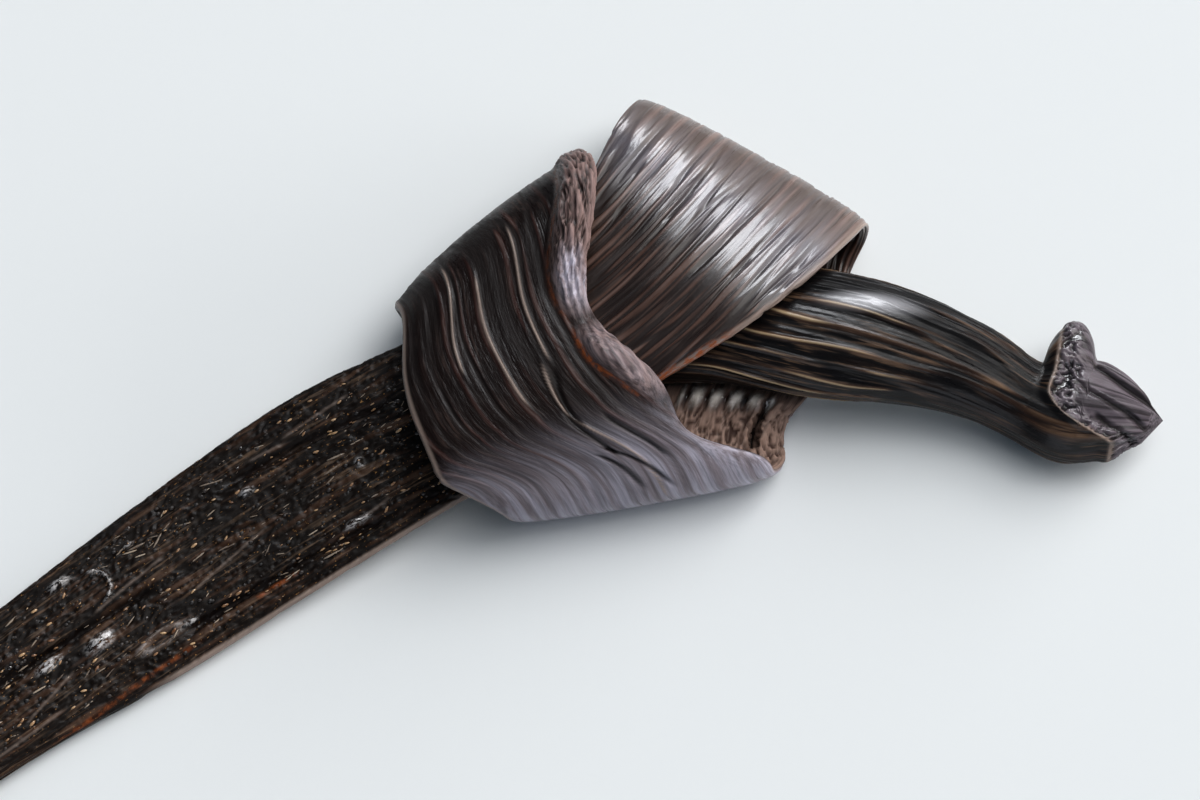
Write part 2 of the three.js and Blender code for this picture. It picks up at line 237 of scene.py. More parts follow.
def blossom_leg():
    at(-59.9, -35.5, 0.7, -57, 0, 0.5, 0.5, 0.55)
    at(-57.0, -33.7, 0.95, -57, 0, 1.9, 1.9, 0.9)
    at(-51.0, -30.0, 1.0, -56, 0, 3.0, 3.0, 0.95)
    at(-42.0, -23.9, 0.93, -55.5, 0, 3.7, 3.7, 0.9)
    at(-31.3, -16.0, 0.88, -56, 0, 4.1, 4.0, 0.85)
    at(-25.6, -11.5, 0.85, -57, 0, 4.45, 4.8, 0.8)
    at(-19.4, -7.1, 1.1, -58.5, 0, 4.95, 5.05, 0.75)
    at(-13.5, -3.5, 1.8, -60, 0, 5.3, 4.95, 0.7)
    at(-9.2, -1.2, 2.5, -61, 0, 5.0, 4.8, 0.7)
    at(-5.0, 0.9, 3.45, -60, 1, 4.8, 4.8, 0.65)


def band_over_stem():
    at(-1.2, 3.4, 4.55, -56, 3, 4.9, 5.1, BAND)
    at(1.4, 5.4, 5.2, -51, 5, 5.7, 5.6, BAND)
    at(3.6, 7.6, 5.55, -45, 6, 6.3, 6.4, BAND)
    at(5.6, 10.2, 5.2, -38, 4, 6.9, 7.0, BAND)


def first_fold():
    fold(7.6, 13.0, 2.37, radius=1.75, bearing=-32, tilt=0, left=7.4, right=7.3,
         side=1, rise=-1, slide=0, fan=0, angles=(-70, -35, 0, 35, 70))


def band_under_stem():
    at(7.1, 10.4, 0.62, -28, 0, 7.2, 7.2, BAND)
    at(5.6, 5.0, 0.62, -20, 0, 7.0, 7.0, BAND)
    at(4.4, 1.0, 1.0, -7, 5, 7.0, 6.4, BAND)
    at(3.6, -1.1, 0.75, 2, 2, 7.0, 6.4, BAND)


def second_fold():
    fold(2.3, -2.9, 3.1, radius=2.4, bearing=11.5, tilt=1.5, left=8.0, right=6.4,
         side=-1, rise=1, slide=-1.6, fan=4, angles=(-60, -20, 20))
    at(1.3, -4.5, 5.2, 13, 2, 8.7, 4.7, BAND)


def front_wrap():
    at(-2.9, -3.0, 6.05, 20, 4, 6.4, 6.7, BAND)
    at(-4.8, 0.5, 6.05, 27, 5, 5.9, 5.4, BAND)
    at(-5.5, 4.0, 5.7, 32, 6, 6.1, 5.7, BAND)


def third_fold():
    fold(-4.97, 8.14, 3.35, radius=1.9, bearing=40, tilt=7, left=6.4, right=7.15,
         side=1, rise=-1, slide=0.3, fan=3, angles=(-60, -20, 20, 60))


def stem_leg():
    at(-2.0, 6.4, 2.0, 52, 4, 5.2, 5.6, 0.75)
    at(1.8, 4.5, 2.85, 60, 1, 4.0, 4.8, 1.1)
    at(6.4, 3.7, 3.4, 69, 0, 2.9, 4.25, 1.45)
    at(11.0, 3.7, 3.6, 79, 0, 3.6, 3.9, 1.8)
    at(16.3, 3.3, 3.3, 76, 0, 3.6, 3.1, 1.95)
    at(19.0, 2.6, 2.95, 70, 0, 3.2, 2.68, 1.85)
    at(21.7, 1.4, 2.5, 66, 0, 2.7, 2.25, 1.75)
    at(23.5, 0.4, 2.25, 70, 0, 2.6, 2.2, 1.7)


def stem_cap():
    at(25.5, -0.25, 2.25, 74, 0, 3.0, 3.35, 1.9)
    at(27.5, -0.5, 2.2, 76, 0, 2.6, 3.0, 1.75)
    at(28.8, -0.6, 2.2, 76, 0, 2.1, 1.95, 1.4)
    at(29.6, -0.65, 2.1, 76, 0, 1.5, 0.9, 0.9)


# ---- curves and easing
def smooth(t):
    c = np.clip(t, 0, 1)
    return c * c * (3 - 2 * c)


def swell(distance, reach):
    """1 at the middle of a swell, falling smoothly to 0 at its reach."""
    return smooth(1 - np.abs(distance) / reach)


def signed_power(value, exponent):
    return np.sign(value) * np.abs(value) ** exponent


def mix(a, b, t):
    return a + (b - a) * t


def natural_spline(knots, rows, x):
    """The natural cubic spline through the rows at the knots, read at every x."""
    n, h = len(knots), np.diff(knots)
    system, right = np.eye(n), np.zeros((n, rows.shape[1]))
    for i in range(1, n - 1):
        system[i, i - 1:i + 2] = h[i - 1], 2 * (h[i - 1] + h[i]), h[i]
        right[i] = 6 * ((rows[i + 1] - rows[i]) / h[i] - (rows[i] - rows[i - 1]) / h[i - 1])
    bend = np.linalg.solve(system, right)
    i = np.clip(np.searchsorted(knots, x) - 1, 0, n - 2)
    width = h[i][:, None]
    a = ((knots[i + 1] - x) / h[i])[:, None]
    b = ((x - knots[i]) / h[i])[:, None]
    return (a * rows[i] + b * rows[i + 1]
            + ((a ** 3 - a) * bend[i] + (b ** 3 - b) * bend[i + 1]) * width * width / 6)


def normalised(vectors):
    return vectors / np.linalg.norm(vectors, axis=-1, keepdims=True)


def sample_route():
    rows = np.array(stations)
    steps = np.linalg.norm(np.diff(rows[:, :3], axis=0), axis=1)
    knots = np.concatenate([[0], np.cumsum(steps)])
    values = natural_spline(knots, rows, np.linspace(0, knots[-1], FINE + 1))
    centre, across = values[:, :3], normalised(values[:, 3:6])
    s = np.concatenate([[0], np.cumsum(np.linalg.norm(np.diff(centre, axis=0), axis=1))])
    ahead = np.vstack([centre[1:], centre[-1:]])
    behind = np.vstack([centre[:1], centre[:-1]])
    along = normalised(ahead - behind)
    normal = normalised(np.cross(across, along))
    return s, np.hstack([centre, across, along, normal, values[:, 6:9]])


# ---- the section
def lip_radius(s, half):
    lower = (LOWER_LIP["radius"] - half) * swell(s - LOWER_LIP["at"], LOWER_LIP["reach"])
    upper = (UPPER_LIP["radius"] - half) * swell(s - UPPER_LIP["at"], UPPER_LIP["reach"])
    return half + np.maximum(np.maximum(lower, upper), 0)


def cap_relief(s, angle):
    turn = np.degrees(np.abs(np.arctan2(np.sin(angle), np.cos(angle))))
    lag = smooth((turn - RIM["turn"][0]) / (RIM["turn"][1] - RIM["turn"][0]))
    rim = mix(RIM["above"], RIM["below"], lag)
    settle = smooth((CAP_RIDGES["end"] - s) / RIM["settle"])
    step = RIM["step"] * smooth((s - rim) / RIM["rise"]) * settle
    lip = RIM_LIP["height"] * swell(s - rim, RIM_LIP["reach"])
    fade = CAP_RIDGES["fade"]
    ridged = smooth((s - CAP_RIDGES["start"]) / fade) * smooth((CAP_RIDGES["end"] - s) / fade)
    ridges = CAP_RIDGES["height"] * np.cos(CAP_RIDGES["count"] * angle) * ridged
    return step + lip + ridges, s - rim


def hook_height(s, angle):
    aside = angle - math.radians(HOOK["angle"])
    off = np.degrees(np.abs(np.arctan2(np.sin(aside), np.cos(aside))))
    dome = np.sqrt(np.clip(1 - ((s - HOOK["at"]) / HOOK["reach"]) ** 2, 0, 1))
    return HOOK["height"] * dome * swell(off, HOOK["spread"])


def outline(s, left, right, half):
    """Every section's outline in its own plane, with the masks that the finish needs.
    s, left, right and half are columns, and every result has one row for each section."""
    angle = np.linspace(0, 2 * np.pi, OUTLINE, endpoint=False)[None, :]
    closed = smooth((s - STEM_START) / (STEM_CLOSED - STEM_START))
    power = 2 / mix(SQUARENESS, STEM_SQUARENESS, closed)
    lip = lip_radius(s, half)
    crown = CROWN["height"] * swell(s - CROWN["at"], CROWN["reach"])
    reach = np.where(np.cos(angle) > 0, right, left)
    x = reach * signed_power(np.cos(angle), power)
    in_lip = smooth((LIP_WIDTH * lip - (right - x)) / (LIP_FADE * lip))
    lift = (lip - half) * in_lip
    y = (lift + (half + lift) * signed_power(np.sin(angle), power)
         + crown * (1 - (x / reach) ** 2))
    cap, rim = cap_relief(s, angle)
    hook = hook_height(s, angle)
    dx = np.roll(x, -1, 1) - np.roll(x, 1, 1)
    dy = np.roll(y, -1, 1) - np.roll(y, 1, 1)
    length = np.hypot(dx, dy)
    height = cap * (1 - hook / HOOK["height"]) + hook
    drift = (DRIFT["above"] * np.clip(s - DRIFT["at"], 0, DRIFT["top"])
             + DRIFT["below"] * np.clip(DRIFT["at"] - s, 0, DRIFT["bottom"]))
    turned = angle + (TWIST["rate"] * TWIST["reach"]
                      * np.tanh((s - TWIST["start"]) / TWIST["reach"]))
    lip_strength = smooth((lip - half) / 0.2) * smooth((np.sin(angle) + 0.5) / 0.4)
    return {
        "x": x + height * dy / length,
        "y": y - height * dx / length,
        "back": hook * HOOK["lean"],
        "skin_x": mix(x + drift, STEM_RADIUS * np.cos(turned), closed),
        "skin_y": mix(y * EDGE_WRAP, STEM_RADIUS * np.sin(turned), closed),
        "across": x + 0 * s,
        "face": signed_power(np.sin(angle), power) + 0 * s,
        "lip": in_lip * lip_strength,
        "lip_edge": swell(in_lip - 0.2, 0.2) * lip_strength,
        "rim": rim,
    }


# ---- named forms
def line(s, x, ends, width, fade):
    """1 along a line on the skin, falling to 0 beside it and past its ends."""
    (s0, x0), (s1, x1) = sorted(ends)
    middle = x0 + (x1 - x0) * (s - s0) / (s1 - s0)
    return swell(x - middle, width) * smooth((s - s0) / fade + 1) * smooth((s1 - s) / fade + 1)


def away(s, x, place, reach):
    """How far a point is from a place on the skin, in reaches along and across the pod."""
    return np.hypot((s - place[0]) / reach[0], (x - place[1]) / reach[1])


def spot(s, x, place, reach):
    """1 at a place on the skin, falling to 0 at its reach along and across the pod."""
    return smooth(1 - away(s, x, place, reach))


def ring(s, x, place, radius, width):
    """1 on an oval line round a place on the skin."""
    return swell((away(s, x, place, radius) - 1) * min(radius), width)


def span(value, low, high, ease):
    """1 between low and high, easing to 0 outside them."""
    return smooth((value - low) / ease + 1) * smooth((high - value) / ease + 1)


def area(s, name):
    """1 on a named stretch of the pod, easing to 0 outside it."""
    return span(s, *AREAS[name])


def mark_sides(p):
    """The masks that say where on the pod a point is. The upper side of the leg and of the
    outer band is the skin's front, and in the pocket and on the stem it is the back."""
    p.front = smooth((p.face + SIDE_EASE) / (2 * SIDE_EASE))
    p.behind = smooth((SIDE_EASE - p.face) / (2 * SIDE_EASE))
    p.inner = (smooth((LEG["end"] - p.s) / LEG["ease"])
               * smooth((p.face - LEG["turn"]) / LEG["turn_ease"]))
    p.pocket = p.behind * area(p.s, "pocket")
    p.capped = p.s > CAP_START


def pocket_forms(p, m):
    """The ribbed ridge across the pocket, and the crease in it with its raised edges."""
    ridge, ribs, crease = POCKET_RIDGE, POCKET_RIBS, POCKET_CREASE
    across = span(p.across, ridge["from"], ridge["to"], ridge["ease"])
    raised = swell(p.s - ridge["at"], ridge["reach"]) * across
    bump = np.abs(np.cos(np.pi * ((p.across - ribs["first"]) / ribs["pitch"])))
    sunk = line(p.s, p.across, crease["ends"], crease["width"], crease["fade"])
    edges = sum(line(p.s, p.across + side * crease["edge_at"], crease["ends"],
                     crease["edge_width"], crease["fade"]) for side in (-1, 1))
    m["ridge"] = raised * p.pocket
    # The bump tops on the pocket's ridge, where highlights are painted into the colour.
    m["bump_highlights"] = raised ** 2 * bump ** 4 * p.pocket
    m["pocket_crease"] = sunk * p.pocket
    m["pocket_edges"] = edges * p.pocket
    m["pocket_skin"] = p.pocket * (1 - raised)
    height = raised * (ridge["height"] - ribs["depth"] + ribs["depth"] * bump ** 0.5)
    return (height - crease["depth"] * sunk + crease["edge_height"] * edges) * p.pocket


def lip_forms(p):
    """The rings of the knob at the lip's top, and the fine ridges below it."""
    off = away(p.s, p.across, LIP_KNOB["at"], LIP_KNOB["radius"])
    knob = (LIP_KNOB["height"] * np.cos(2 * np.pi * off / LIP_KNOB["ring"])
            * smooth(LIP_KNOB["reach"] - off))
    ridges = LIP_RIDGES["height"] * np.cos(2 * np.pi * p.across / LIP_RIDGES["pitch"])
    return (knob + ridges * area(p.s, "lip_ridges")) * p.lip


def raised_forms(p, m):
    """The named forms' height above the plain skin, and their masks."""
    s, x = p.s, p.across
    m["drops"] = sum(spot(s, x, (a, b), (c, d)) * e for a, b, c, d, e in DROPS) * p.inner
    m["curl"] = ring(s, x, CURL["at"], CURL["radius"], CURL["width"]) * p.inner
    m["crescent"] = ring(s, x, CRESCENT["at"], CRESCENT["radius"], CRESCENT["width"]) * p.inner
    m["crescent"] *= smooth((s - CRESCENT["at"][0]) / CRESCENT["ease"])
    for name, (side, depth, width, fade, *places) in LINES.items():
        drawn = depth * sum(line(s, x, ends, width, fade) for ends in places)
        m[name] = drawn * getattr(p, side)
    return (m["drops"] + CURL["height"] * m["curl"] + CRESCENT["height"] * m["crescent"]
            - m["leg_creases"] - m["band_grooves"] - m["wrap_ridges"] - m["wrap_creases"]
            - m["cap_grooves"] + pocket_forms(p, m) + lip_forms(p))


def edge_masks(p, m):
    """The pod's edges and rims, with painted highlights on the lit sides of the edges and on the
    cap's rim, and rust in some stretches.
    """
    for name, (low, high, ease, inset) in PALE_EDGES.items():
        outer = smooth((p.across - p.right + inset) / EDGE_EASE)
        m[name] = span(p.face, low, high, ease) * outer * area(p.s, name)
    # Painted highlight on the wrap's rolled edge.
    rolled = swell(p.across - p.left - WRAP_EDGE["inset"], WRAP_EDGE["width"])
    m["wrap_lit_edge"] = span(p.face, *WRAP_EDGE["turn"]) * rolled * area(p.s, "wrap_lit_edge")
    worn = span(p.across, p.right - BAND_RUST["inset"], p.right + BAND_RUST["past"],
                BAND_RUST["ease"])
    m["band_rust"] = worn * area(p.s, "band_rust")
    m["lip_rust"] = p.lip_edge * (1 - LIP_RUST_LOSS * area(p.s, "upper_lip"))
    # Painted highlight: a pale line along the cap's rim.
    m["rim_highlight"] = swell(p.rim - CAP_EDGE["line_at"], CAP_EDGE["line_width"]) * p.capped
    m["cone"] = smooth(p.rim / CAP_EDGE["ease"]) * p.capped
    m["inside_rim"] = m["cone"] * smooth((IN_RIM["to"] - p.rim) / IN_RIM["ease"])


def skin_masks(p, m):
    """The skin's own tints, and the places where sheen is painted into its colour."""
    s, x = p.s, p.across
    for name, (side, place, reach) in SPOTS.items():
        m[name] = spot(s, x, place, reach) * getattr(p, side)
    m["leg_rust"] = p.inner * area(s, "leg_rust") * swell(x - LEG_RUST["across"],
                                                          LEG_RUST["width"])
    # Painted sheen along the crest of the first fold.
    m["fold_crest_sheen"] = area(s, "fold_crest_sheen") * p.front * (1 - p.closed)
    m["low_band"] = area(s, "low_band") * (s > WRAP_START) * p.front * (1 - p.closed)
    # Painted sheen low on the wrap, on the first fold and across the back band.
    to_right = smooth((x - LOW_PAINTED_SHEEN["from"]) / LOW_PAINTED_SHEEN["over"])
    m["low_painted_sheen"] = m["low_band"] * mix(LOW_PAINTED_SHEEN["least"], 1, to_right)
    m["lower_lip"] = p.lip * area(s, "lower_lip")
    m["fold_painted_sheen"] = area(s, "fold_painted_sheen") * p.front
    m["band_painted_sheen"] = swell(s - BAND_PAINTED_SHEEN["at"], BAND_PAINTED_SHEEN["reach"]) * p.front
    m["crumpled_lip"] = p.lip * area(s, "crumpled_lip")
    m["pocket_floor"] = p.pocket * area(s, "pocket_floor")
    m["leg"], m["lip"], m["everywhere"] = p.inner, p.lip, 1.0
    middle = span(x, CALM_WRAP["from"], CALM_WRAP["to"], CALM_WRAP["ease"])
    m["calm"] = (middle * area(s, "calm_wrap")
                 + CALM_LOSS["band"] * area(s, "calm_band")) * p.front


def forms(p):
    """The named forms' height above the plain skin, and the finish as masks by name: the skin's own
    tints, painted light and shade, and the relief's controls.
    """
    m = {}
    mark_sides(p)
    height = raised_forms(p, m)
    edge_masks(p, m)
    skin_masks(p, m)
    finish = {kind: np.clip(sum(strength * m[name] for name, strength in shown.items()), 0, 1)
              for kind, shown in FINISH.items()}
    ribs = 1.0
    for name, loss in RIB_LOSS.items():
        ribs = ribs * (1 - loss * m[name])
    ribs = ribs * smooth((RIB_END - p.rim) / RIB_END) * smooth(p.s / TIP_FADE)
    finish["ribs"] = (ribs * (1 - area(p.s, "plain_stem") * p.closed)
                      * (1 - CALM_LOSS["wrap"] * m["calm"]))
    crumple = sum(strength * m[name] for name, strength in CRUMPLE.items())
    finish["crumple"] = (np.clip(crumple, 0, MOST_CRUMPLED) * smooth(p.s / TIP_FADE)
                         * (1 - CURL_CRUMPLE_LOSS * m["curl"]))
    wavering = smooth((p.s - WAVERING_STEM["from"]) / WAVERING_STEM["over"])
    finish["ordered"] = 1 - WAVERING_STEM["share"] * p.closed * wavering
    margin = SEED_MARGIN
    finish["seeded"] = p.inner * area(p.s, "seeds") * span(
        p.across, p.left + margin["left"], p.right - margin["right"], margin["ease"])
    # Where the painted highlight on the stem's rib crests lies.
    finish["tan"] = p.closed * smooth((PAINTED_CREST_HIGHLIGHT["to"] - p.s) / PAINTED_CREST_HIGHLIGHT["over"])
    finish["inner"], finish["lip"] = p.inner, p.lip
    return height, finish


def spaced_round(outlines, around):
    """Points at even distances round each outline."""
    x, y = outlines["x"], outlines["y"]
    step = np.hypot(np.roll(x, -1, 1) - x, np.roll(y, -1, 1) - y)
    travel = np.cumsum(np.pad(step, ((0, 0), (1, 0))), axis=1)
    want = travel[:, -1:] * np.arange(around) / around
    points = {key: [np.interp(*row) for row in zip(want, travel, np.hstack([rows, rows[:, :1]]))]
              for key, rows in outlines.items()}
    return SimpleNamespace(**{key: np.array(rows) for key, rows in points.items()})


def loft(name, start, end, rings, around):
    """One stretch of the pod as a closed mesh, with its finish as point attributes."""
    s_route, table = route
    s = np.linspace(start, min(end, s_route[-1]), rings)
    rows = np.stack([np.interp(s, s_route, column) for column in table.T], axis=1)
    centre, across = rows[:, 0:3], normalised(rows[:, 3:6])
    along, normal = normalised(rows[:, 6:9]), normalised(rows[:, 9:12])
    left, right, half = rows[:, 12:13], rows[:, 13:14], rows[:, 14:15]
    p = spaced_round(outline(s[:, None], left, right, half), around)
    p.s, p.left, p.right = s[:, None], -left, right
    p.closed = smooth((p.s - STEM_START) / (STEM_CLOSED - STEM_START))
    height, finish = forms(p)
    dx = np.roll(p.x, -1, 1) - np.roll(p.x, 1, 1)
    dy = np.roll(p.y, -1, 1) - np.roll(p.y, 1, 1)
    lift = height / np.hypot(dx, dy)
    place = (centre[:, None] + across[:, None] * (p.x + lift * dy)[..., None]
             + normal[:, None] * (p.y - lift * dx)[..., None]
             - along[:, None] * p.back[..., None])
    place[..., 2] = np.maximum(place[..., 2] - PRESSED, 0)
    ends = [centre[ring] + sense * half[ring] * along[ring] * is_tip(s[ring]) - [0, 0, PRESSED]
            for ring, sense in ((0, -1), (rings - 1, 1))]
    mesh = tube_mesh(name, place + KNOT_TO_ORIGIN, np.array(ends) + KNOT_TO_ORIGIN)
    store(mesh, "skin", np.stack([p.skin_x, p.skin_y, p.s + 0 * dx], axis=-1))
    store(mesh, "ahead", np.repeat(along[:, None], around, axis=1))
    turn = np.arctan2(p.skin_y, p.skin_x)
    finish["rib_place"] = STEM_RADIUS * turn if start > STEM_START else p.skin_x
    for key, values in finish.items():
        store(mesh, key, values + 0 * dx)
    return linked(name, mesh)


def is_tip(s):
    """1 at the pod's own ends, 0 where one stretch meets the next."""
    return float(s < 1 or s > route[0][-1] - 1)


def linked(name, mesh):
    piece = bpy.data.objects.new(name, mesh)
    bpy.context.scene.collection.objects.link(piece)
    return piece


def tube_mesh(name, place, ends):
    """Quads between the rings, and a fan to a point that closes each end."""
    rings, around = place.shape[:2]
    a = np.arange(rings - 1)[:, None] * around + np.arange(around)
    b = np.arange(rings - 1)[:, None] * around + (np.arange(around) + 1) % around
    quads = np.stack([a, a + around, b + around, b], axis=-1).reshape(-1, 4)
    first, last = rings * around, rings * around + 1
    here, after = np.arange(around), (np.arange(around) + 1) % around
    top = (rings - 1) * around
    fans = np.concatenate([
        np.stack([np.full(around, first), here, after], axis=-1),
        np.stack([np.full(around, last), top + after, top + here], axis=-1)])
    points = np.concatenate([place.reshape(-1, 3), ends]) * MM
    mesh = bpy.data.meshes.new(name)
    mesh.from_pydata(points, [], [*quads.tolist(), *fans.tolist()], shade_flat=False)
    return mesh


def store(mesh, name, values):
    """Keeps values as a point attribute: numbers, or vectors where they have three parts. The
    points that close the ends get the mean of their ring."""
    flat = values.reshape(-1, 3) if values.ndim == 3 else values.reshape(-1)
    flat = np.concatenate([flat, values[[0, -1]].mean(axis=1)])
    kind, field = ("FLOAT_VECTOR", "vector") if flat.ndim == 2 else ("FLOAT", "value")
    attribute = mesh.attributes.new(name, kind, "POINT")
    attribute.data.foreach_set(field, np.ascontiguousarray(flat, np.float32).ravel())


# ---- node helpers
NOISE_SLICE = 0.37        # where each noise is cut, so that no slice is at a whole number


def fill(tree, sockets, values):
    """Gives sockets, by name or number, a value of their own or a link to another socket."""
    for key, value in values.items():
        if isinstance(value, bpy.types.NodeSocket):
            tree.links.new(value, sockets[key])
        else:
            sockets[key].default_value = value


def put(tree, kind, inputs=None, **settings):
    """Adds a node, with its settings made before its inputs are filled."""
    node = tree.nodes.new(kind)
    for key, value in settings.items():
        setattr(node, key, value)
    fill(tree, node.inputs, inputs or {})
    return node


def new_tree(kind, name, inputs, outputs):
    """An empty node group. inputs and outputs map a socket's name to what it carries."""
    tree = bpy.data.node_groups.new(name, kind)
    for side, sockets in (("INPUT", inputs), ("OUTPUT", outputs)):
        for socket, carries in sockets.items():
            tree.interface.new_socket(socket, in_out=side, socket_type="NodeSocket" + carries)
    return tree, put(tree, "NodeGroupInput").outputs, put(tree, "NodeGroupOutput").inputs


def calc(tree, operation, *values, clamp=False):
    node = put(tree, "ShaderNodeMath", dict(enumerate(values)), operation=operation,
               use_clamp=clamp)
    return node.outputs[0]


def times(tree, product, *factors):
    for factor in factors:
        product = calc(tree, "MULTIPLY", product, factor)
    return product


def ranged(tree, value, low, high, to_low=0.0, to_high=1.0, kind="SMOOTHSTEP"):
    node = put(tree, "ShaderNodeMapRange", {0: value, 1: low, 2: high, 3: to_low, 4: to_high},
               interpolation_type=kind)
    return node.outputs[0]


def mix_number(tree, factor, a, b):
    return put(tree, "ShaderNodeMix", {0: factor, 2: a, 3: b}, data_type="FLOAT").outputs[0]


def mix_colour(tree, factor, a, b):
    return put(tree, "ShaderNodeMix", {0: factor, 6: a, 7: b}, data_type="RGBA").outputs[2]


def parts(tree, vector):
    return put(tree, "ShaderNodeSeparateXYZ", {0: vector}).outputs


def joined(tree, x, y, z):
    return put(tree, "ShaderNodeCombineXYZ", {0: x, 1: y, 2: z}).outputs[0]


def stretched(tree, skin, width, length):
    """The skin's coordinates in cells of this width and length."""
    x, y, s = skin
    return joined(tree, calc(tree, "DIVIDE", x, width), calc(tree, "DIVIDE", y, width),
                  calc(tree, "DIVIDE", s, length))


def noise(tree, vector, detail=2.0, roughness=0.5, distortion=0.0, scale=1.0):
    return put(tree, "ShaderNodeTexNoise", {
        "Vector": vector, "Scale": scale, "Detail": detail, "Roughness": roughness,
        "Distortion": distortion}).outputs[0]


def seeded_noise(tree, vector, seed, detail=2.0, roughness=0.5, distortion=0.0):
    """Noise through a slice that lies between the whole numbers, where noise is even."""
    return put(tree, "ShaderNodeTexNoise", {
        "Vector": vector, "W": calc(tree, "ADD", seed, NOISE_SLICE), "Scale": 1.0,
        "Detail": detail, "Roughness": roughness, "Distortion": distortion},
        noise_dimensions="4D").outputs[0]


# ---- the skin's relief
RELIEF_SIZES = ("Rib pitch", "Rib height", "Rib length", "Evenness", "Waver",
                "Groove depth", "Crumple size", "Crumple height", "Fine share",
                "Rib sharpness")

# Width and length of the cells of the slow waver, in millimetres, and of the other patterns,
# in rib pitches and rib lengths.
SLOW_CELLS = (3.0, 7.0)
PATCH_CELLS = (1.0, 0.4)
FINE_CELLS = (0.42, 0.6)
GROOVE_CELLS = (2.6, 1.2)
CRUMPLE_STRETCH = 1.7     # how much longer than wide the crumples are
CRUMPLE_SWIRL = 1.8
RIB_SCATTER = 0.85        # how irregular the uneven ribs are: 0 is a grid
VALLEY_WIDTH = 0.35
GROOVE_LINE = 0.05
FOLD_LINE = 0.13


def named(tree, name, kind="FLOAT"):
    return put(tree, "GeometryNodeInputNamedAttribute", {"Name": name}, data_type=kind).outputs[0]


def stored(tree, geometry, name, value, domain="POINT"):
    return put(tree, "GeometryNodeStoreNamedAttribute",
               {"Geometry": geometry, "Name": name, "Value": value},
               data_type="FLOAT", domain=domain).outputs[0]


def new_geometry_tree(name, sizes):
    """A tree for a modifier, with a number for each size, a seed and a material."""
    inputs = {"Geometry": "Geometry", **dict.fromkeys(sizes, "Float"), "Seed": "Int",
              "Material": "Material"}
    tree, given, out = new_tree("GeometryNodeTree", name, inputs, {"Geometry": "Geometry"})
    tree.is_modifier = True
    return tree, given, out


def finish_tree(tree, geometry, given, out):
    real = put(tree, "GeometryNodeRealizeInstances", {"Geometry": geometry}).outputs[0]
    dressed = put(tree, "GeometryNodeSetMaterial",
                  {"Geometry": real, "Material": given["Material"]})
    fill(tree, out, {"Geometry": dressed.outputs[0]})


def crest_line(tree, value, width):
    """1 where a noise crosses its middle value, falling to 0 at width from it."""
    off = calc(tree, "ABSOLUTE", calc(tree, "SUBTRACT", value, 0.5))
    return ranged(tree, off, 0.0, width, 1.0, 0.0)


def rib_pattern(tree, given, skin, slow, cells):
    """Uneven ribs between cells of noise, mixed with even ribs side by side."""
    seed, pitch = given["Seed"], given["Rib pitch"]
    to_valley = put(tree, "ShaderNodeTexVoronoi", {
        "Vector": stretched(tree, skin, pitch, given["Rib length"]), "W": seed, "Scale": 1.0,
        "Randomness": RIB_SCATTER}, voronoi_dimensions="4D",
        feature="DISTANCE_TO_EDGE").outputs[0]
    uneven = ranged(tree, to_valley, 0.0, VALLEY_WIDTH)
    place = calc(tree, "MULTIPLY_ADD", calc(tree, "SUBTRACT", slow, 0.5), given["Waver"],
                 named(tree, "rib_place"))
    wave = calc(tree, "COSINE", calc(tree, "DIVIDE", times(tree, place, 2 * math.pi), pitch))
    even = calc(tree, "POWER", calc(tree, "MULTIPLY_ADD", wave, 0.5, 0.5),
                given["Rib sharpness"])
    patches = seeded_noise(tree, cells(PATCH_CELLS), seed, 1.0)
    even = times(tree, even, ranged(tree, patches, 0.35, 0.6, 0.1, 1.0))
    return mix_number(tree, times(tree, given["Evenness"], named(tree, "ordered")),
                      uneven, even)


